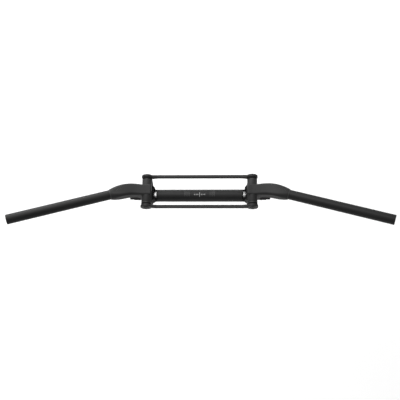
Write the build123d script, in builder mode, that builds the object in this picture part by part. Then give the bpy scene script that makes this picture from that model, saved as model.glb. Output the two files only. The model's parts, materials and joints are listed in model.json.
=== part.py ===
"""Off-road handlebar whose two ends pivot against elastomers.

Frame: X runs along the bar (+X is the rider's right), +Y is forward, +Z is up.
The origin is the centre of the clamp tube, on its axis. All sizes are millimetres.

The middle section is a clamp tube between two yokes. Each yoke holds a fore-aft pivot pin
above the clamp tube, and two rails tie the outer ends of the pins together. Each arm turns on
its pin, carries a grip tube, and has a lever below the pin. A stud on the clamp tube's axis runs
from the lever through the yoke: a thick elastomer outside the yoke takes the bar's downward
flex, and a thin one inside the yoke takes the rebound.

Every piece beside the middle is drawn on the right and mirrored to the left.
"""
import os
from math import sqrt

from build123d import *

os.makedirs("parts", exist_ok=True)

# Clamp tube
CLAMP_R = 14.3
CLAMP_BORE_R = 10.0
CLAMP_HALF = 99.0
END_CHAMFER = 0.8

# Spigot that carries each yoke inside the clamp tube's end
SPIGOT_R = 12.9
SPIGOT_LENGTH = 8.0
BOND_GAP = 0.05

# Pivots: one fore-aft pin on each side
PIVOT_X = 121.0
PIVOT_Z = 28.0
PIN_R = 6.0
RUNNING_GAP = 0.04

# Barrel and stations across the pivot, as distances from the middle plane along Y
BARREL_R = 11.4
BARREL_HALF = 27.0
BUSH_IN = 14.8
BUSH_R = 7.98
WASHER_IN = 27.15
WASHER_OUT = 28.35
EAR_IN = 28.5
EAR_OUT = 32.4
EYE_OUT = 38.9

# Grip tube: 22.2 mm, swept back and raised, on a straight axis
GRIP_R = 11.1
GRIP_BORE_R = 8.0
GRIP_ROOT = (160.0, 2.5, 32.0)
GRIP_TIP_X = 420.5
ARM_END_X = 202.6
GRIP_SHOULDER_X = 203.2
GRIP_SEAT_R = 10.6
SWEEP = 0.33
RISE = 0.18

# Rails and the bolts that hold them
BOLT_R = 4.0
RAIL_WIDTH = 7.1
RAIL_HEIGHT = 7.2
RAIL_CORNER = 1.6
RAIL_Y = 36.3
RAIL_BAR_HALF = 97.0
EYE_R = 12.9

# Stack on the stud's axis, as distances from the middle of the bar along X
NUT_START = 99.9
NUT_THIN = 7.0
PLAIN_WASHER = 1.8
WEB_START = 113.0
WEB_THICK = 6.0
PUCK_THICK = 14.0
SOFT_BORE_R = 6.7
LEVER_START = 133.2
SEAT_R = 21.0
SEAT_GAP = 0.3
CUP_THICK = 3.2
PRELOAD_NUT = 9.0
JAM_NUT = 9.0
STUD_R = 6.0
STUD_START = 95.5
STUD_END = 166.0
NUT_FLATS = 19.0
JAM_NUT_FLATS = 17.0
FACE_GAP = 0.1

# Places on the grip tube's axis, worked out from its root
GRIP_DIRECTION = Vector(1, -SWEEP, RISE).normalized()
GRIP_LENGTH = (GRIP_TIP_X - GRIP_ROOT[0]) * sqrt(1 + SWEEP**2 + RISE**2)
GRIP_PLANE = Plane(origin=GRIP_ROOT, x_dir=(SWEEP, 1, 0), z_dir=GRIP_DIRECTION)


def on_grip_axis(x):
    """The point of the grip tube's axis at distance x from the middle of the bar."""
    step = x - GRIP_ROOT[0]
    return (x, GRIP_ROOT[1] - SWEEP * step, GRIP_ROOT[2] + RISE * step)


def ring_x(start, end, outer_r, inner_r):
    """A plain ring on the stud's axis."""
    with BuildPart() as ring:
        with BuildSketch(Plane.YZ.offset(start)):
            Circle(outer_r)
            Circle(inner_r, mode=Mode.SUBTRACT)
        extrude(amount=end - start)
    return ring.part


def ring_pivot(near, far, outer_r, inner_r):
    """A ring on the pivot's axis and its twin on the other side of the middle plane."""
    with BuildPart() as ring:
        with BuildSketch(Plane.XZ.offset(-near)):
            with Locations((PIVOT_X, PIVOT_Z)):
                Circle(outer_r)
                Circle(inner_r, mode=Mode.SUBTRACT)
        extrude(amount=near - far)
        mirror(about=Plane.XZ)
    return ring.part


def slotted_nut():
    """Round nut inside the neck, with slots in its rim for a spanner."""
    rim_r = 11.0
    rim_chamfer = 0.8
    slot_width = 2.6
    slot_depth = 1.8
    first_slot = 5
    with BuildPart() as nut:
        with BuildSketch(Plane.YZ.offset(NUT_START)):
            Circle(rim_r)
        extrude(amount=NUT_THIN)
        chamfer(nut.edges().filter_by(GeomType.CIRCLE), rim_chamfer)
        with BuildSketch(Plane.YZ.offset(NUT_START)):
            Circle(STUD_R)
            with PolarLocations(rim_r, 4, start_angle=first_slot):
                Rectangle(2 * slot_depth, slot_width)
        extrude(amount=NUT_THIN, mode=Mode.SUBTRACT)
    return nut.part


def hex_nut(start, length, flats):
    """A hexagon nut on the stud's axis, its corners turned off at both faces."""
    corner_r = flats / sqrt(3)
    cut = 1.1
    half_profile = (
        (start, 0),
        (start, corner_r - cut),
        (start + cut / 2, corner_r + FACE_GAP),
        (start + length - cut / 2, corner_r + FACE_GAP),
        (start + length, corner_r - cut),
        (start + length, 0),
    )
    with BuildPart() as nut:
        with BuildSketch(Plane.YZ.offset(start)):
            RegularPolygon(flats / 2, 6, major_radius=False)
            Circle(STUD_R, mode=Mode.SUBTRACT)
        extrude(amount=length)
        with BuildSketch(Plane.XY):
            Polygon(*half_profile, align=None)
        revolve(axis=Axis.X, mode=Mode.INTERSECT)
    return nut.part


def save(name, part):
    """Label one piece and write its file."""
    part.label = name
    export_step(part, f"parts/{name}.step")


def save_pair(stem, right_part):
    """Write a right-hand piece and its mirror image."""
    save(f"right_{stem}", right_part)
    with BuildPart() as left:
        mirror(right_part, about=Plane.YZ)
    save(f"left_{stem}", left.part)


def clamp_tube():
    """Tube that the bar clamps grip, counterbored at both ends for the yokes' spigots."""
    counterbore = SPIGOT_LENGTH + 1.0
    with BuildPart() as tube:
        with BuildSketch(Plane.YZ):
            Circle(CLAMP_R)
            Circle(CLAMP_BORE_R, mode=Mode.SUBTRACT)
        extrude(amount=CLAMP_HALF, both=True)
        with BuildSketch(Plane.YZ.offset(CLAMP_HALF - counterbore)):
            Circle(SPIGOT_R)
        extrude(amount=counterbore, mode=Mode.SUBTRACT)
        with BuildSketch(Plane.YZ.offset(-CLAMP_HALF)):
            Circle(SPIGOT_R)
        extrude(amount=counterbore, mode=Mode.SUBTRACT)
        rims = tube.edges().filter_by(GeomType.CIRCLE).filter_by(lambda e: abs(e.radius - CLAMP_R) < 0.01)
        chamfer(rims, END_CHAMFER)
    return tube.part


def yoke():
    """End bracket: a neck on the clamp tube's axis under a saddle that spreads to two ears."""
    neck_bore_r = 11.6
    neck_end_r = 15.0
    neck_end = 10.0
    spare = 1.0
    web_out = WEB_START + WEB_THICK
    guide_r = 8.0
    saddle_r = BARREL_R + 0.6
    saddle_top = 22.0
    ear_foot = 10.0
    keel = (13.0, -7.0)
    flare = ((111.0, EAR_OUT), (109.9, 24.0), (108.8, 18.5), (104.2, CLAMP_R))
    front_view = [keel, (EAR_OUT, ear_foot), (EAR_OUT, saddle_top)]
    window_in = CLAMP_HALF + 1.4
    window_out = 106.4
    window_front = 11.0
    window_rear = -10.4
    window_corner = 1.2
    window_place = ((window_in + window_out) / 2, (window_front + window_rear) / 2)
    with BuildPart() as bracket:
        # Saddle under the barrel: its outline from above, cut to its outline from the front
        with BuildSketch(Plane.XY.offset(-neck_end_r)):
            with BuildLine():
                Polyline(*flare, *[(x, -y) for x, y in reversed(flare)])
                Polyline(flare[0], (web_out, EAR_OUT), (web_out, -EAR_OUT), (flare[0][0], -EAR_OUT))
            make_face()
        extrude(amount=saddle_top + neck_end_r)
        with BuildSketch(Plane.YZ.offset(CLAMP_HALF)):
            Polygon(*front_view, *[(-y, z) for y, z in reversed(front_view)], align=None)
            Circle(neck_end_r - 0.5)
        extrude(amount=web_out + spare - CLAMP_HALF, mode=Mode.INTERSECT)
        # The flare's top slopes down to the neck
        with BuildSketch(Plane.XZ):
            Polygon((100, 9), (109.0, saddle_top + spare), (100, saddle_top + spare), align=None)
        extrude(amount=EAR_OUT + spare, both=True, mode=Mode.SUBTRACT)
        # Neck, its thicker outer end and the spigot
        with BuildSketch(Plane.YZ.offset(CLAMP_HALF + FACE_GAP)):
            Circle(CLAMP_R)
        extrude(amount=web_out - CLAMP_HALF - FACE_GAP)
        with BuildSketch(Plane.YZ.offset(web_out - neck_end)):
            Circle(neck_end_r)
        extrude(amount=neck_end)
        with BuildSketch(Plane.YZ.offset(CLAMP_HALF - SPIGOT_LENGTH)):
            Circle(SPIGOT_R - BOND_GAP)
        extrude(amount=SPIGOT_LENGTH + spare)
        # Room for the arm's barrel
        with BuildSketch(Plane.XZ):
            with Locations((PIVOT_X, PIVOT_Z)):
                Circle(saddle_r)
        extrude(amount=EAR_IN, both=True, mode=Mode.SUBTRACT)
        # Ears around the pin's ends, each on a foot at the saddle's end
        for side in (1, -1):
            with BuildSketch(Plane.XZ.offset(-side * EAR_IN)):
                with Locations((PIVOT_X, PIVOT_Z)):
                    Circle(BARREL_R)
                Polygon(
                    (PIVOT_X - BARREL_R + 0.5, PIVOT_Z),
                    (flare[0][0], ear_foot),
                    (web_out, ear_foot),
                    (PIVOT_X + BARREL_R - 1.5, PIVOT_Z - 5.0),
                    align=None,
                )
            extrude(amount=-side * (EAR_OUT - EAR_IN))
        with BuildSketch(Plane.XZ):
            with Locations((PIVOT_X, PIVOT_Z)):
                Circle(PIN_R)
        extrude(amount=EAR_OUT + spare, both=True, mode=Mode.SUBTRACT)
        # Bore for the nut, guide hole for the stud
        with BuildSketch(Plane.YZ.offset(CLAMP_HALF - SPIGOT_LENGTH - spare)):
            Circle(neck_bore_r)
        extrude(amount=WEB_START - CLAMP_HALF + SPIGOT_LENGTH + spare, mode=Mode.SUBTRACT)
        with BuildSketch(Plane.YZ.offset(WEB_START - spare)):
            Circle(guide_r)
        extrude(amount=WEB_THICK + 2 * spare, mode=Mode.SUBTRACT)
        # Window over the nut, open upwards
        with BuildSketch(Plane.XY):
            with Locations(window_place):
                RectangleRounded(window_out - window_in, window_front - window_rear, window_corner)
        extrude(amount=saddle_top + spare, mode=Mode.SUBTRACT)
    return bracket.part


def rail(side):
    """Tie rail: a slim bar that ends in an eye at each pivot bolt."""
    eye_mid = (EAR_OUT + EYE_OUT) / 2 + FACE_GAP / 2
    eye_thick = EYE_OUT - EAR_OUT - FACE_GAP
    neck_x = PIVOT_X - EYE_R + 1.5
    neck_height = 13.0
    neck_corner = 2.0
    eye_chamfer = 1.0
    with BuildPart() as bar:
        with BuildSketch(Plane.XZ.offset(-side * (EAR_OUT + FACE_GAP))):
            with Locations((PIVOT_X, PIVOT_Z)):
                Circle(EYE_R)
        extrude(amount=-side * eye_thick)
        chamfer(bar.edges().filter_by(GeomType.CIRCLE), eye_chamfer)
        with BuildSketch(Plane.YZ):
            with Locations((side * RAIL_Y, PIVOT_Z)):
                RectangleRounded(RAIL_WIDTH, RAIL_HEIGHT, RAIL_CORNER)
        extrude(amount=RAIL_BAR_HALF)
        with BuildSketch(Plane.YZ.offset(RAIL_BAR_HALF)):
            with Locations((side * RAIL_Y, PIVOT_Z)):
                RectangleRounded(RAIL_WIDTH, RAIL_HEIGHT, RAIL_CORNER)
        with BuildSketch(Plane.YZ.offset(neck_x)):
            with Locations((side * eye_mid, PIVOT_Z)):
                RectangleRounded(eye_thick, neck_height, neck_corner)
        loft()
        with BuildSketch(Plane.XZ):
            with Locations((PIVOT_X, PIVOT_Z)):
                Circle(BOLT_R + FACE_GAP)
        extrude(amount=-side * (EYE_OUT + FACE_GAP), mode=Mode.SUBTRACT)
        mirror(about=Plane.YZ)
    return bar.part


def pivot_pin():
    """Ground pin through both ears, drilled at each end for a bolt."""
    thread_depth = 16.0
    seat_gap = 0.02
    with BuildPart() as pin:
        with BuildSketch(Plane.XZ):
            with Locations((PIVOT_X, PIVOT_Z)):
                Circle(PIN_R - seat_gap)
        extrude(amount=EAR_OUT, both=True)
        for side in (1, -1):
            with BuildSketch(Plane.XZ.offset(-side * EAR_OUT)):
                with Locations((PIVOT_X, PIVOT_Z)):
                    Circle(BOLT_R)
            extrude(amount=side * thread_depth, mode=Mode.SUBTRACT)
    return pin.part


def pivot_bolts():
    """Front and rear low-head bolts that hold the rails' eyes to the pin."""
    head_r = 6.8
    head = 1.5
    head_chamfer = 0.8
    shank = 20.0
    thread_gap = 0.04
    socket_flats = 5.0
    socket_depth = 3.0
    with BuildPart() as bolts:
        with BuildSketch(Plane.XZ.offset(-EYE_OUT)):
            with Locations((PIVOT_X, PIVOT_Z)):
                Circle(head_r)
        extrude(amount=-head)
        rim = bolts.edges().filter_by(GeomType.CIRCLE).sort_by(Axis.Y)[-1]
        chamfer(rim, head_chamfer)
        with BuildSketch(Plane.XZ.offset(-EYE_OUT)):
            with Locations((PIVOT_X, PIVOT_Z)):
                Circle(BOLT_R - thread_gap)
        extrude(amount=shank)
        with BuildSketch(Plane.XZ.offset(-EYE_OUT - head)):
            with Locations((PIVOT_X, PIVOT_Z)):
                RegularPolygon(socket_flats / 2, 6, major_radius=False)
        extrude(amount=socket_depth, mode=Mode.SUBTRACT)
        mirror(about=Plane.XZ)
    return bolts.part


def arm():
    """Forged arm: pivot barrel, body that turns onto the grip's axis, and the lever below."""
    bush_seat_r = 8.0
    lever_r = 10.0
    lever_thick = 11.0
    lever_root_thick = 9.0
    lever_root_z = 12.8
    lever_top_z = 20.0
    lever_hole_r = 7.9
    socket_start = -0.2
    spare = 1.0
    root_middle = (2.0, 28.7)
    root_width = 27.0
    root_height = 23.4
    root_corner = 5.0
    root = (PIVOT_X, *root_middle)
    hood_start = PIVOT_X - BARREL_R + 0.4
    hood_round = 2.4
    bend = Vector(*on_grip_axis(163)) - Vector(0, 0.9, 0)
    bend_normal = (Vector(1, 0, 0) + GRIP_DIRECTION).normalized()
    sections = (
        (Plane(root, x_dir=(0, 1, 0), z_dir=(1, 0, 0)), root_width, root_height, root_corner),
        (Plane((141, 2.0, 29.6), x_dir=(0, 1, 0), z_dir=(1, 0, 0)), 27.0, 25.4, 5.2),
        (Plane(bend, x_dir=(SWEEP / 2, 1, 0), z_dir=bend_normal), 29.0, 27.2, 6.0),
        (Plane(on_grip_axis(182), x_dir=(SWEEP, 1, 0), z_dir=GRIP_DIRECTION), 28.6, 28.4, 7.0),
        (Plane(on_grip_axis(194), x_dir=(SWEEP, 1, 0), z_dir=GRIP_DIRECTION), 27.2, 27.0, 10.0),
        (Plane(on_grip_axis(ARM_END_X), x_dir=(SWEEP, 1, 0), z_dir=GRIP_DIRECTION), 24.4, 24.4, 12.1),
    )
    with BuildPart() as lever:
        with BuildSketch(Plane.YZ.offset(LEVER_START)):
            Circle(lever_r)
            with Locations((0, lever_top_z / 2)):
                Rectangle(2 * lever_r, lever_top_z)
        extrude(amount=lever_thick)
        with Locations((PIVOT_X, 0, 0)):
            Sphere(SEAT_R, mode=Mode.INTERSECT)
        with BuildSketch(Plane.YZ.offset(LEVER_START)):
            with Locations((0, (lever_root_z + lever_top_z) / 2)):
                Rectangle(2 * lever_r, lever_top_z - lever_root_z)
        extrude(amount=lever_root_thick)
    # The body's flat top carries on over the barrel to its inner side
    with BuildPart() as hood:
        with BuildSketch(Plane.YZ.offset(hood_start)):
            with Locations(root_middle):
                RectangleRounded(root_width, root_height, root_corner)
            with Locations((root_middle[0], PIVOT_Z - root_height / 2)):
                Rectangle(root_width, root_height, mode=Mode.SUBTRACT)
        extrude(amount=PIVOT_X - hood_start)
        inner_rim = hood.faces().sort_by(Axis.X)[0].edges().sort_by(Axis.Z)[1:]
        fillet(inner_rim, hood_round)
    with BuildPart() as forging:
        for plane, width, height, corner in sections:
            with BuildSketch(plane):
                RectangleRounded(width, height, corner)
        loft()
        with BuildSketch(Plane.XZ):
            with Locations((PIVOT_X, PIVOT_Z)):
                Circle(BARREL_R)
        extrude(amount=BARREL_HALF, both=True)
        add(hood.part)
        add(lever.part)
        with BuildSketch(Plane.XZ):
            with Locations((PIVOT_X, PIVOT_Z)):
                Circle(bush_seat_r)
        extrude(amount=BARREL_HALF + spare, both=True, mode=Mode.SUBTRACT)
        with BuildSketch(GRIP_PLANE.offset(socket_start)):
            Circle(GRIP_SEAT_R + BOND_GAP)
        extrude(amount=GRIP_LENGTH, mode=Mode.SUBTRACT)
        with BuildSketch(Plane.YZ.offset(LEVER_START - spare)):
            Circle(lever_hole_r)
        extrude(amount=lever_thick + spare, mode=Mode.SUBTRACT)
    return forging.part


def grip_tube():
    """Bar-end tube that the grip and controls go on, its inner end turned down for the arm's socket."""
    rim_chamfer = 0.6
    seat_length = (GRIP_SHOULDER_X - GRIP_ROOT[0]) * GRIP_LENGTH / (GRIP_TIP_X - GRIP_ROOT[0])
    with BuildPart() as tube:
        with BuildSketch(GRIP_PLANE):
            Circle(GRIP_SEAT_R)
        extrude(amount=seat_length)
        with BuildSketch(GRIP_PLANE.offset(seat_length)):
            Circle(GRIP_R)
        extrude(amount=GRIP_LENGTH - seat_length)
        with BuildSketch(GRIP_PLANE):
            Circle(GRIP_BORE_R)
        extrude(amount=GRIP_LENGTH, mode=Mode.SUBTRACT)
        chamfer(tube.edges().filter_by(GeomType.CIRCLE).sort_by(Axis.X)[-2:], rim_chamfer)
    return tube.part


def stud():
    """Double-ended stud on the clamp tube's axis."""
    end_chamfer = 1.0
    thread_gap = 0.01
    with BuildPart() as rod:
        with BuildSketch(Plane.YZ.offset(STUD_START)):
            Circle(STUD_R - thread_gap)
        extrude(amount=STUD_END - STUD_START)
        chamfer(rod.edges().filter_by(GeomType.CIRCLE), end_chamfer)
    return rod.part


def cup_washer(end):
    """Washer with a hollow face that rolls on the lever's rounded seat."""
    inner_r = STUD_R + FACE_GAP
    middle_r = 8.5
    outer_r = 10.8
    hollow_r = SEAT_R + SEAT_GAP
    hollow = [(PIVOT_X + sqrt(hollow_r**2 - r**2), r) for r in (inner_r, middle_r, outer_r)]
    with BuildPart() as washer:
        with BuildSketch(Plane.XY):
            with BuildLine():
                ThreePointArc(*hollow)
                Polyline(hollow[-1], (end, outer_r), (end, inner_r), hollow[0])
            make_face()
        revolve(axis=Axis.X)
    return washer.part


def make_all():
    """Build every piece and write its file."""
    washer_r = 11.0
    puck_r = 13.0
    save("clamp_tube", clamp_tube())
    save("front_rail", rail(1))
    save("rear_rail", rail(-1))
    save_pair("yoke", yoke())
    save_pair("pivot_pin", pivot_pin())
    save_pair("pivot_bolts", pivot_bolts())
    save_pair("thrust_washers", ring_pivot(WASHER_IN, WASHER_OUT, washer_r, PIN_R + FACE_GAP))
    save_pair("pivot_bushings", ring_pivot(BUSH_IN, BARREL_HALF - FACE_GAP, BUSH_R, PIN_R + RUNNING_GAP))
    save_pair("arm", arm())
    save_pair("grip_tube", grip_tube())

    nut_end = NUT_START + NUT_THIN
    washer_end = nut_end + PLAIN_WASHER
    web_end = WEB_START + WEB_THICK
    preload_start = PIVOT_X + SEAT_R + CUP_THICK
    jam_start = preload_start + PRELOAD_NUT + FACE_GAP
    save_pair("guide_bushing", ring_x(WEB_START, web_end, BUSH_R, STUD_R + RUNNING_GAP))
    save_pair("rebound_elastomer", ring_x(washer_end + FACE_GAP, WEB_START - FACE_GAP, washer_r, SOFT_BORE_R))
    save_pair("compression_elastomer", ring_x(web_end, web_end + PUCK_THICK, puck_r, SOFT_BORE_R))
    save_pair("stud", stud())
    save_pair("rebound_nut", slotted_nut())
    save_pair("rebound_washer", ring_x(nut_end, washer_end, washer_r, STUD_R + FACE_GAP))
    save_pair("cup_washer", cup_washer(preload_start))
    save_pair("preload_nut", hex_nut(preload_start, PRELOAD_NUT, NUT_FLATS))
    save_pair("jam_nut", hex_nut(jam_start, JAM_NUT, JAM_NUT_FLATS))


make_all()
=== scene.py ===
"""Looks of the pivoting handlebar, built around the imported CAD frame. Metres, +X the rider's right, +Z up."""
import json
import math

import bmesh
import bpy
from mathutils import Matrix, Vector
from mathutils.bvhtree import BVHTree


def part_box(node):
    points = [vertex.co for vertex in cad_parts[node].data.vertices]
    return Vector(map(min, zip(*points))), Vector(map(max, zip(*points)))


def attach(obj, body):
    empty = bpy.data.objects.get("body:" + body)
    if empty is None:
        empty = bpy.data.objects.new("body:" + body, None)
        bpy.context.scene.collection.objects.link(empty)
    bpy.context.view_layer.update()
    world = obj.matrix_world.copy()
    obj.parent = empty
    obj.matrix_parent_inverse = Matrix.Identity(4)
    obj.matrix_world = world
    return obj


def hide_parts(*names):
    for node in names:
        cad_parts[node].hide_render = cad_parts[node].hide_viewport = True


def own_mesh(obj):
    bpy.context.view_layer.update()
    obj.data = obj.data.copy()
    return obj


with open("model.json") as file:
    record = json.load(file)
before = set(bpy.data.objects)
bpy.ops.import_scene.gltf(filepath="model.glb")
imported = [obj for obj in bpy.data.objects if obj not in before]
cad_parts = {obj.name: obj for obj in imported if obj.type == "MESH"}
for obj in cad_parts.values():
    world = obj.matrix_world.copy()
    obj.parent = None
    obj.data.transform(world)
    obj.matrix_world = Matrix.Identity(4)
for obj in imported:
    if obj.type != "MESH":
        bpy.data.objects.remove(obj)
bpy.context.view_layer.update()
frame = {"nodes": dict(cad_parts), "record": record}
MM = 0.001
SIDES = {"right": 1, "left": -1}
CENTRE = "center_section"


# ---------------------------------------------------------------- places read from the frame

def grip_axis(side):
    """(root, direction) of a grip tube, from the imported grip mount."""
    mount = [m for m in frame["record"]["mounts"] if m["name"] == side + "_grip_zone"][0]
    return Vector(mount["pos_m"]), Vector(mount["axis"]).normalized()


def along_x(node, sign):
    """The node's stretch along X as distances (near, far) from the middle of the bar."""
    low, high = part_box(node)
    return (low.x, high.x) if sign > 0 else (-high.x, -low.x)


def surface(node):
    """A CAD node's mesh as a tree to cast rays at."""
    mesh = frame["nodes"][node].data
    return BVHTree.FromPolygons([v.co for v in mesh.vertices], [p.vertices for p in mesh.polygons])


CLAMP_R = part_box("clamp_tube")[1].z
STUD_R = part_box("right_stud")[1].z


# ---------------------------------------------------------------- camera, light and floor

def add_camera():
    """The view from above and behind the rider's seat, turned a little to the right."""
    elevation = math.radians(70.64)
    turn = math.radians(8.45)
    roll = math.radians(-8.02)
    distance = 1.3047
    target = Vector((1.5, -17.7, 20.0)) * MM
    away = Vector((
        math.sin(turn) * math.cos(elevation),
        -math.cos(turn) * math.cos(elevation),
        math.sin(elevation),
    ))
    right = (-away).cross(Vector((0, 0, 1))).normalized()
    up = away.cross(right)
    across = right * math.cos(roll) + up * math.sin(roll)
    upward = up * math.cos(roll) - right * math.sin(roll)
    data = bpy.data.cameras.new("camera")
    data.sensor_width = 36.0
    data.lens = 51.2
    data.clip_start = 0.01
    camera = bpy.data.objects.new("camera", data)
    turned = Matrix((across, upward, away)).transposed().to_4x4()
    camera.matrix_world = Matrix.Translation(target + away * distance) @ turned
    bpy.context.scene.collection.objects.link(camera)
    bpy.context.scene.camera = camera


def add_area_light(name, place, aim, size, power):
    """A square soft light."""
    data = bpy.data.lights.new(name, "AREA")
    data.shape = "SQUARE"
    data.size = size
    data.energy = power
    lamp = bpy.data.objects.new(name, data)
    lamp.location = place
    lamp.rotation_euler = (Vector(aim) - Vector(place)).to_track_quat("-Z", "Y").to_euler()
    bpy.context.scene.collection.objects.link(lamp)


def add_world():
    """Pale surroundings, brightest ahead of the bar and to its left."""
    world = bpy.data.worlds.new("studio")
    world.use_nodes = True
    tree = world.node_tree
    bright_way = Vector((-0.40, 0.80, 0.45)).normalized()
    way = tree.nodes.new("ShaderNodeTexCoord")
    dot = tree.nodes.new("ShaderNodeVectorMath")
    dot.operation = "DOT_PRODUCT"
    dot.inputs[1].default_value = bright_way
    fade = tree.nodes.new("ShaderNodeMapRange")
    fade.inputs["From Min"].default_value = -0.55
    fade.inputs["From Max"].default_value = 0.95
    fade.inputs["To Min"].default_value = 0.34
    fade.inputs["To Max"].default_value = 0.90
    tree.links.new(way.outputs["Generated"], dot.inputs[0])
    tree.links.new(dot.outputs["Value"], fade.inputs["Value"])
    tree.links.new(fade.outputs["Result"], tree.nodes["Background"].inputs["Strength"])
    tree.nodes["Background"].inputs["Color"].default_value = (1.0, 1.0, 1.0, 1.0)
    bpy.context.scene.world = world
    bpy.context.scene.view_settings.view_transform = "Standard"


def add_floor():
    """Pale floor well under the bar."""
    half = 6.0
    height = -0.55
    white = (1.0, 1.0, 1.0, 1.0)
    mesh = bpy.data.meshes.new("floor")
    corners = [(x * half, y * half, height) for x, y in ((-1, -1), (1, -1), (1, 1), (-1, 1))]
    mesh.from_pydata(corners, [], [(0, 1, 2, 3)])
    floor = bpy.data.objects.new("floor", mesh)
    bpy.context.scene.collection.objects.link(floor)
    material = bpy.data.materials.new("floor_pale")
    material.use_nodes = True
    shader = material.node_tree.nodes["Principled BSDF"]
    shader.inputs["Base Color"].default_value = white
    shader.inputs["Roughness"].default_value = 0.9
    mesh.materials.append(material)


def add_studio():
    """Surroundings, floor and soft lights."""
    add_world()
    add_floor()
    add_area_light("key", (-0.9, 1.9, 0.9), (0, 0, 0), 1.3, 38)
    add_area_light("top", (-0.5, 0.7, 2.0), (0, 0, 0), 1.2, 18)


# ---------------------------------------------------------------- materials

class Look:
    """A node material under construction: one Principled shader and helpers that feed it."""

    def __init__(self, name):
        self.material = bpy.data.materials.new(name)
        self.material.use_nodes = True
        self.tree = self.material.node_tree
        self.shader = self.tree.nodes["Principled BSDF"]

    def node(self, kind, **values):
        """Add a node and set its inputs by name, with underscores for spaces."""
        made = self.tree.nodes.new(kind)
        for key, value in values.items():
            made.inputs[key.replace("_", " ")].default_value = value
        return made

    def link(self, source, target):
        self.tree.links.new(source, target)

    def place(self, rotation=(0, 0, 0), scale=(1, 1, 1)):
        """The piece's coordinates, turned and stretched."""
        coordinates = self.node("ShaderNodeTexCoord")
        mapping = self.node("ShaderNodeMapping")
        mapping.inputs["Rotation"].default_value = rotation
        mapping.inputs["Scale"].default_value = scale
        self.link(coordinates.outputs["Object"], mapping.inputs["Vector"])
        return mapping.outputs["Vector"]

    def noise(self, where, scale, detail=4.0):
        made = self.node("ShaderNodeTexNoise", Scale=scale, Detail=detail, Roughness=0.6)
        self.link(where, made.inputs["Vector"])
        return made.outputs["Fac"]

    def ramp(self, value, low, high, start, end):
        """value, taken from start..end, mapped to low..high and held outside it."""
        made = self.node("ShaderNodeMapRange")
        made.inputs["From Min"].default_value = start
        made.inputs["From Max"].default_value = end
        made.inputs["To Min"].default_value = low
        made.inputs["To Max"].default_value = high
        self.link(value, made.inputs["Value"])
        return made.outputs["Result"]

    def math(self, operation, first, second=0.0):
        made = self.node("ShaderNodeMath")
        made.operation = operation
        for socket, value in zip(made.inputs, (first, second)):
            if isinstance(value, (int, float)):
                socket.default_value = value
            else:
                self.link(value, socket)
        return made.outputs["Value"]

    def mix(self, factor, first, second):
        """Blend two colours, each a tuple or a socket."""
        made = self.node("ShaderNodeMix")
        made.data_type = "RGBA"
        self.link(factor, made.inputs["Factor"])
        for socket, value in ((made.inputs[6], first), (made.inputs[7], second)):
            if isinstance(value, tuple):
                socket.default_value = value
            else:
                self.link(value, socket)
        return made.outputs[2]

    def bump(self, height, distance, strength):
        made = self.node("ShaderNodeBump", Strength=strength, Distance=distance)
        self.link(height, made.inputs["Height"])
        return made.outputs["Normal"]

    def edges(self, radius):
        """1 on sharp edges, 0 on open faces."""
        bevel = self.node("ShaderNodeBevel", Radius=radius)
        bevel.samples = 6
        geometry = self.node("ShaderNodeNewGeometry")
        dot = self.node("ShaderNodeVectorMath")
        dot.operation = "DOT_PRODUCT"
        self.link(bevel.outputs["Normal"], dot.inputs[0])
        self.link(geometry.outputs["Normal"], dot.inputs[1])
        return self.ramp(dot.outputs["Value"], 1.0, 0.0, 0.80, 0.97)

    def finish(self, colour, roughness, normal):
        """Feed the shader's linked sockets."""
        feeds = {"Base Color": colour, "Roughness": roughness, "Normal": normal}
        for socket, source in feeds.items():
            self.link(source, self.shader.inputs[socket])
        return self.material


def grey(value):
    return (value, value, value, 1.0)


def anodised(name, base, rough, rotation=(0, 0, 0)):
    """Black anodised aluminium with a fine turned lay across the piece's axis and bright worn edges."""
    look = Look(name)
    where = look.place(rotation=rotation)
    streaks = look.noise(look.place(rotation=rotation, scale=(900.0, 6.0, 6.0)), 1.0, detail=3.0)
    cloud = look.noise(where, 14.0, detail=5.0)
    speck = look.noise(where, 1400.0, detail=2.0)
    patches = look.ramp(look.noise(where, 160.0), 0.0, 1.0, 0.48, 0.66)
    worn = look.math("MULTIPLY", look.edges(0.6 * MM), patches)
    colour = look.mix(look.ramp(cloud, 0.0, 1.0, 0.35, 0.7), grey(base * 0.82), grey(base * 1.2))
    colour = look.mix(look.math("MULTIPLY", worn, 0.55), colour, grey(0.34))
    uneven = look.math("ADD", look.math("MULTIPLY", streaks, 0.5), cloud)
    roughness = look.ramp(uneven, rough - 0.07, rough + 0.08, 0.4, 1.1)
    height = look.math("ADD", look.math("MULTIPLY", streaks, 0.6), look.math("MULTIPLY", speck, 0.4))
    look.shader.inputs["Metallic"].default_value = 0.35
    look.shader.inputs["Specular IOR Level"].default_value = 0.25
    return look.finish(colour, roughness, look.bump(height, 0.03 * MM, 0.5))


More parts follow.
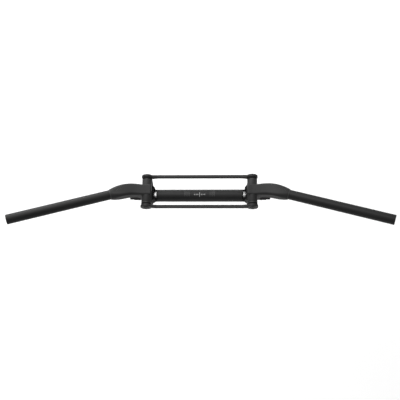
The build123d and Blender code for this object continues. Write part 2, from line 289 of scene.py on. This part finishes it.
def forged(name, base, rough, specular=0.25):
    """Shot-peened black forging: dimpled skin, dull, edges rubbed a little brighter."""
    look = Look(name)
    where = look.place()
    dimples = look.node("ShaderNodeTexVoronoi", Scale=900.0)
    dimples.feature = "SMOOTH_F1"
    look.link(where, dimples.inputs["Vector"])
    cloud = look.noise(where, 22.0, detail=6.0)
    speck = look.noise(where, 700.0, detail=3.0)
    patches = look.ramp(look.noise(where, 120.0), 0.0, 1.0, 0.45, 0.65)
    worn = look.math("MULTIPLY", look.edges(0.9 * MM), patches)
    colour = look.mix(look.ramp(cloud, 0.0, 1.0, 0.35, 0.68), grey(base * 0.85), grey(base * 1.15))
    colour = look.mix(look.math("MULTIPLY", worn, 0.4), colour, grey(0.3))
    uneven = look.math("ADD", cloud, look.math("MULTIPLY", speck, 0.4))
    roughness = look.ramp(uneven, rough - 0.06, rough + 0.08, 0.4, 1.0)
    height = look.math("ADD", dimples.outputs["Distance"], look.math("MULTIPLY", speck, 0.3))
    look.shader.inputs["Metallic"].default_value = 0.25
    look.shader.inputs["Specular IOR Level"].default_value = specular
    return look.finish(colour, roughness, look.bump(height, 0.12 * MM, 0.35))


def steel(name, base, rough, metallic=1.0):
    """Machined or plated steel with fine turning marks and slight handling stains."""
    look = Look(name)
    where = look.place()
    lines = look.noise(look.place(scale=(40.0, 900.0, 900.0)), 1.0, detail=3.0)
    stain = look.noise(where, 90.0, detail=5.0)
    worn = look.edges(0.3 * MM)
    colour = look.mix(look.ramp(stain, 0.0, 1.0, 0.35, 0.7), grey(base * 0.88), grey(min(1.0, base * 1.08)))
    colour = look.mix(look.math("MULTIPLY", worn, 0.35), colour, grey(min(1.0, base * 1.3 + 0.1)))
    roughness = look.ramp(look.math("ADD", lines, stain), rough - 0.06, rough + 0.1, 0.6, 1.4)
    look.shader.inputs["Metallic"].default_value = metallic
    return look.finish(colour, roughness, look.bump(lines, 0.02 * MM, 0.4))


def elastomer_look():
    """Moulded polyurethane: near black, soft sheen, faint mottling and flow lines."""
    look = Look("elastomer")
    where = look.place()
    mottle = look.noise(where, 260.0, detail=5.0)
    flow = look.noise(look.place(scale=(30.0, 300.0, 300.0)), 1.0, detail=2.0)
    colour = look.mix(look.ramp(mottle, 0.0, 1.0, 0.35, 0.7), grey(0.018), grey(0.04))
    roughness = look.ramp(flow, 0.5, 0.68, 0.3, 0.7)
    look.shader.inputs["Sheen Weight"].default_value = 0.15
    return look.finish(colour, roughness, look.bump(mottle, 0.08 * MM, 0.4))


def mark_look(name, dark, pale):
    """Laser-etched grey mark, slightly uneven."""
    look = Look(name)
    where = look.place()
    dots = look.noise(where, 1500.0, detail=2.0)
    wear = look.noise(where, 200.0, detail=4.0)
    colour = look.mix(look.ramp(wear, 0.0, 1.0, 0.35, 0.65), grey(dark), grey(pale))
    roughness = look.ramp(dots, 0.5, 0.75, 0.3, 0.7)
    return look.finish(colour, roughness, look.bump(dots, 0.02 * MM, 0.4))


# ---------------------------------------------------------------- meshes

def make_piece(name, points, faces, material, body, slot, sharp=35.0):
    """A mesh object that rides on a body."""
    mesh = bpy.data.meshes.new(name)
    mesh.from_pydata([tuple(p) for p in points], [], faces)
    cleaner = bmesh.new()
    cleaner.from_mesh(mesh)
    bmesh.ops.recalc_face_normals(cleaner, faces=cleaner.faces)
    cleaner.to_mesh(mesh)
    cleaner.free()
    mesh.shade_smooth()
    mesh.set_sharp_from_angle(angle=math.radians(sharp))
    mesh.materials.append(material)
    piece = bpy.data.objects.new(name, mesh)
    bpy.context.scene.collection.objects.link(piece)
    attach(piece, body)
    return piece


def add_grid(points, faces, rows, wrap_rows=False):
    """Append rows of points, each row closed on itself, and the quads between them."""
    start = len(points)
    columns = len(rows[0])
    for row in rows:
        points.extend(row)
    for i in range(len(rows) if wrap_rows else len(rows) - 1):
        for j in range(columns):
            across = (j + 1) % columns
            below = (i + 1) % len(rows)
            faces.append((
                start + i * columns + j,
                start + i * columns + across,
                start + below * columns + across,
                start + below * columns + j,
            ))
    return start


def ring_about(origin, axis, profile, segments=72):
    """A closed profile of (along, radius) turned about an axis: (points, faces)."""
    side = axis.orthogonal().normalized()
    up = axis.cross(side)
    rows = []
    for k in range(segments):
        angle = 2 * math.pi * k / segments
        out = side * math.cos(angle) + up * math.sin(angle)
        rows.append([origin + axis * along + out * radius for along, radius in profile])
    points, faces = [], []
    add_grid(points, faces, rows, wrap_rows=True)
    return points, faces


def add_bead(points, faces, path, half_width, height):
    """A half-round bead along (place, normal) pairs, tapering to nothing at both ends."""
    sink = 0.2 * MM
    section = ((-1.0, None), (-0.75, 0.62), (0.0, 1.0), (0.75, 0.62), (1.0, None))
    rows = []
    last = len(path) - 1
    for i, (place, normal) in enumerate(path):
        ahead = (path[min(i + 1, last)][0] - path[max(i - 1, 0)][0]).normalized()
        across = normal.cross(ahead).normalized()
        swell = math.sin(math.pi * (i + 0.12) / (last + 0.24)) ** 0.35
        rows.append([
            place + across * (part * half_width * swell)
            + normal * (-sink if rise is None else rise * height * swell)
            for part, rise in section
        ])
    start = add_grid(points, faces, rows)
    width = len(section)
    faces.append(tuple(start + j for j in range(width)))
    faces.append(tuple(start + last * width + j for j in range(width)))


# ---------------------------------------------------------------- marks on the clamp tube

def add_plate(points, faces, start, width, first, second):
    """A thin upright plate wrapped on the clamp tube. Angles go from the top towards the rider."""
    steps = 10
    lift = 0.05 * MM
    rows = []
    for i in range(steps + 1):
        angle = math.radians(first + (second - first) * i / steps)
        corners = ((start, lift), (start + width, lift), (start + width, -lift), (start, -lift))
        rows.append([
            Vector((x, -(CLAMP_R + rise) * math.sin(angle), (CLAMP_R + rise) * math.cos(angle)))
            for x, rise in corners
        ])
    base = add_grid(points, faces, rows)
    faces.append(tuple(base + j for j in range(4)))
    faces.append(tuple(base + steps * 4 + j for j in range(4)))


def add_centre_mark(material):
    """A plain centring scale, the same on both sides of its longest bar. It spells nothing."""
    width = 1.4 * MM
    pitch = 4.0 * MM
    points, faces = [], []
    for k in range(-3, 4):
        first, second = (-12, 28) if k == 0 else (2, 14)
        add_plate(points, faces, k * pitch - width / 2, width, first, second)
    make_piece("clamp_tube_mark", points, faces, material, CENTRE, "ground_steel")


def add_graduations(material):
    """Fine lines beyond the scale's ends, for centring the bar in its clamps."""
    width = 0.55 * MM
    pitch = 2.6 * MM
    nearest = 24.0 * MM
    points, faces = [], []
    for side in (1, -1):
        for k in range(5):
            reach = 26 if k % 2 == 0 else 16
            add_plate(points, faces, side * (nearest + k * pitch) - width / 2, width, -22, reach)
    make_piece("clamp_graduations", points, faces, material, CENTRE, "ground_steel")


# ---------------------------------------------------------------- soft rings and threads

def ring_profile(near, far, inner, outer, waist, lobes):
    """A ring's section with rounded lobes outside and small rounds inside."""
    steps = 48
    fullness = 0.45
    section = []
    for i in range(steps + 1):
        share = i / steps
        swell = abs(math.sin(lobes * math.pi * share)) ** fullness
        section.append((near + (far - near) * share, waist + (outer - waist) * swell))
    soft = min(0.5 * MM, (far - near) / 6)
    section += [(far, inner + soft), (far - soft, inner), (near + soft, inner), (near, inner + soft)]
    return section


def add_elastomers(side, sign, material):
    """The grooved compression ring outside the yoke and the plain rebound ring inside it."""
    axis = Vector((sign, 0, 0))
    centre = Vector((0, 0, 0))
    near, far = along_x(side + "_compression_elastomer", sign)
    bore, outer, groove, lobes = 6.8 * MM, 13.0 * MM, 11.6 * MM, 3
    thick = ring_about(centre, axis, ring_profile(near, far, bore, outer, groove, lobes))
    name = side + "_compression_ring"
    piece = make_piece(name, *thick, material, CENTRE, "elastomer", sharp=60.0)
    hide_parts(side + "_compression_elastomer")
    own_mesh(piece)

    near, far = along_x(side + "_rebound_elastomer", sign)
    bore, outer, rim, lobes = 6.6 * MM, 11.0 * MM, 10.3 * MM, 1
    thin = ring_about(centre, axis, ring_profile(near, far, bore, outer, rim, lobes))
    name = side + "_rebound_ring"
    piece = make_piece(name, *thin, material, CENTRE, "elastomer", sharp=60.0)
    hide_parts(side + "_rebound_elastomer")
    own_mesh(piece)


def add_stud(side, sign, material):
    """The stud with its rolled thread at both ends and a plain shank between."""
    near, far = along_x(side + "_stud", sign)
    pitch = 1.75 * MM
    depth = 0.95 * MM
    shank = (108.5 * MM, 136.0 * MM)
    chamfer = 1.0 * MM
    around = 40
    step = pitch / 6
    stations = []
    x = near
    while x < far:
        stations.append(x)
        x += step if x < shank[0] or x > shank[1] - 4 * step else (shank[1] - shank[0]) / 8
    stations.append(far)
    rows = []
    for x in stations:
        ease = min(1.0, max(0.0, max(shank[0] - x, x - shank[1]) / pitch))
        bevel = max(0.0, chamfer - min(x - near, far - x))
        row = []
        for k in range(around):
            turn = k / around
            wave = abs(2 * ((x / pitch - sign * turn) % 1.0) - 1)
            radius = STUD_R - depth * ease * min(1.0, 1.25 * wave) - bevel
            angle = 2 * math.pi * turn
            row.append(Vector((sign * x, radius * math.cos(angle), radius * math.sin(angle))))
        rows.append(row)
    points, faces = [], []
    add_grid(points, faces, rows)
    faces.append(tuple(range(around)))
    faces.append(tuple((len(rows) - 1) * around + k for k in range(around)))
    piece = make_piece(side + "_threaded_stud", points, faces, material, side + "_stud_set", "ground_steel")
    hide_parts(side + "_stud")


# ---------------------------------------------------------------- forged and turned detail

def cast(tree, start, way):
    """(place, normal) where a ray meets a surface, or None."""
    place, normal = tree.ray_cast(start, way)[:2]
    return None if place is None else (place, normal if normal.dot(way) < 0 else -normal)


def smoothed(path):
    """The same path with its normals averaged over their neighbours."""
    out = []
    for i, (place, normal) in enumerate(path):
        near = path[max(0, i - 2):i + 3]
        normal = sum((other[1] for other in near), Vector()).normalized()
        out.append((place, normal))
    return out


def add_arm_detail(side, sign, material, seal):
    """Slanted ribs ahead of the socket, the forging's parting line and the seal at the socket's mouth."""
    tree = surface(side + "_arm")
    root, way = grip_axis(side)
    above = 120 * MM

    def on_axis(x):
        """Y and Z of the grip's axis at distance x from the middle of the bar."""
        step = (x - abs(root.x)) / abs(way.x)
        return root.y + step * way.y, root.z + step * way.z

    ribs, rib_start, rib_pitch = 7, 172.5 * MM, 3.4 * MM
    rib_slant, rib_length, rib_offset = 6.8 * MM, 9.8 * MM, 0.5 * MM
    rib_half_width, rib_height = 0.62 * MM, 0.34 * MM
    points, faces = [], []
    for k in range(ribs):
        x = rib_start + rib_pitch * k
        path = []
        for i in range(15):
            share = i / 14
            y = on_axis(x)[0] + rib_offset + rib_length * share
            path.append(cast(tree, Vector((sign * (x + rib_slant * share), y, above)), Vector((0, 0, -1))))
        add_bead(points, faces, smoothed([p for p in path if p]), rib_half_width, rib_height)
    make_piece(side + "_arm_ribs", points, faces, material, side + "_end", "forging_black", sharp=50.0)

    line_start, line_length, lowest = 137.0 * MM, 61.7 * MM, 29.0 * MM
    line_half_width, line_height = 0.75 * MM, 0.22 * MM
    points, faces = [], []
    for front in (1, -1):
        path = []
        for i in range(60):
            x = line_start + line_length * i / 59
            axis_y, axis_z = on_axis(x)
            start = Vector((sign * x, axis_y + front * above, max(axis_z, lowest)))
            path.append(cast(tree, start, Vector((0, -front, 0))))
        add_bead(points, faces, smoothed([p for p in path if p]), line_half_width, line_height)
    name = side + "_arm_parting_line"
    make_piece(name, points, faces, material, side + "_end", "forging_black", sharp=50.0)

    corners = [v.co for v in frame["nodes"][side + "_arm"].data.vertices]
    mouth = max((c - root).dot(way) for c in corners)
    lip, seat = 0.9 * MM, 0.1 * MM
    inner, outer = 11.12 * MM, 12.0 * MM
    section = [(-lip, inner), (-lip, outer), (seat, outer)]
    for k in range(1, 8):
        angle = math.pi / 2 * k / 7
        section.append((seat + lip * math.sin(angle), inner + (outer - inner) * math.cos(angle)))
    ring = ring_about(root + way * mouth, way, section, segments=80)
    make_piece(side + "_socket_seal", *ring, seal, side + "_end", "elastomer", sharp=60.0)


# ---------------------------------------------------------------- build

def dress(node, material, bevel=0.0):
    """Give a CAD node its material and softened edges."""
    piece = frame["nodes"][node]
    piece.data.materials.clear()
    piece.data.materials.append(material)
    if bevel:
        weld = piece.modifiers.new("weld", "WELD")
        weld.merge_threshold = 1e-6
        soften = piece.modifiers.new("soften", "BEVEL")
        soften.width = bevel
        soften.segments = 2
        soften.limit_method = "ANGLE"
        soften.angle_limit = math.radians(32)
        soften.use_clamp_overlap = True


def dress_nodes(looks):
    """Materials for the CAD nodes that stay visible."""
    dress("clamp_tube", looks["tube"])
    for name in ("front_rail", "rear_rail"):
        dress(name, looks["rail"], 0.4 * MM)
    for side in SIDES:
        way = grip_axis(side)[1]
        turned = way.rotation_difference(Vector((1, 0, 0))).to_euler()
        dress(side + "_grip_tube", anodised(side + "_grip_black", 0.014, 0.48, rotation=tuple(turned)))
        for stem, look, bevel in (
            ("yoke", "yoke", 0.7 * MM),
            ("arm", "forging", 0.9 * MM),
            ("pivot_pin", "ground", 0.0),
            ("pivot_bolts", "black", 0.2 * MM),
            ("thrust_washers", "bronze", 0.2 * MM),
            ("guide_bushing", "bronze", 0.0),
            ("pivot_bushings", "bronze", 0.0),
            ("rebound_nut", "bright", 0.3 * MM),
            ("rebound_washer", "bright", 0.2 * MM),
            ("cup_washer", "black", 0.3 * MM),
            ("preload_nut", "black", 0.3 * MM),
            ("jam_nut", "black", 0.3 * MM),
        ):
            dress(side + "_" + stem, looks[look], bevel)


add_camera()
add_studio()
looks = {
    "forging": forged("forging_black", 0.022, 0.55),
    # The yoke's look is the forging black made darker and duller: painted shade for its sloping faces and the
    # recess between barrel and nut, not a colour of its own.
    "yoke": forged("yoke_black_painted_shade", 0.008, 0.62, specular=0.1),
    "tube": anodised("clamp_tube_black", 0.019, 0.48),
    "rail": anodised("rail_black", 0.022, 0.5),
    "ground": steel("ground_steel", 0.5, 0.25),
    "black": steel("black_oxide", 0.02, 0.4, metallic=0.8),
    "bright": steel("bright_zinc", 0.56, 0.28),
    "bronze": steel("bronze", 0.08, 0.5),
    "elastomer": elastomer_look(),
    "mark": mark_look("etched_mark", 0.26, 0.42),
    "graduation": mark_look("etched_line", 0.07, 0.11),
}
dress_nodes(looks)
add_centre_mark(looks["mark"])
add_graduations(looks["graduation"])
for side, sign in SIDES.items():
    add_elastomers(side, sign, looks["elastomer"])
    add_stud(side, sign, looks["ground"])
    add_arm_detail(side, sign, looks["forging"], looks["elastomer"])
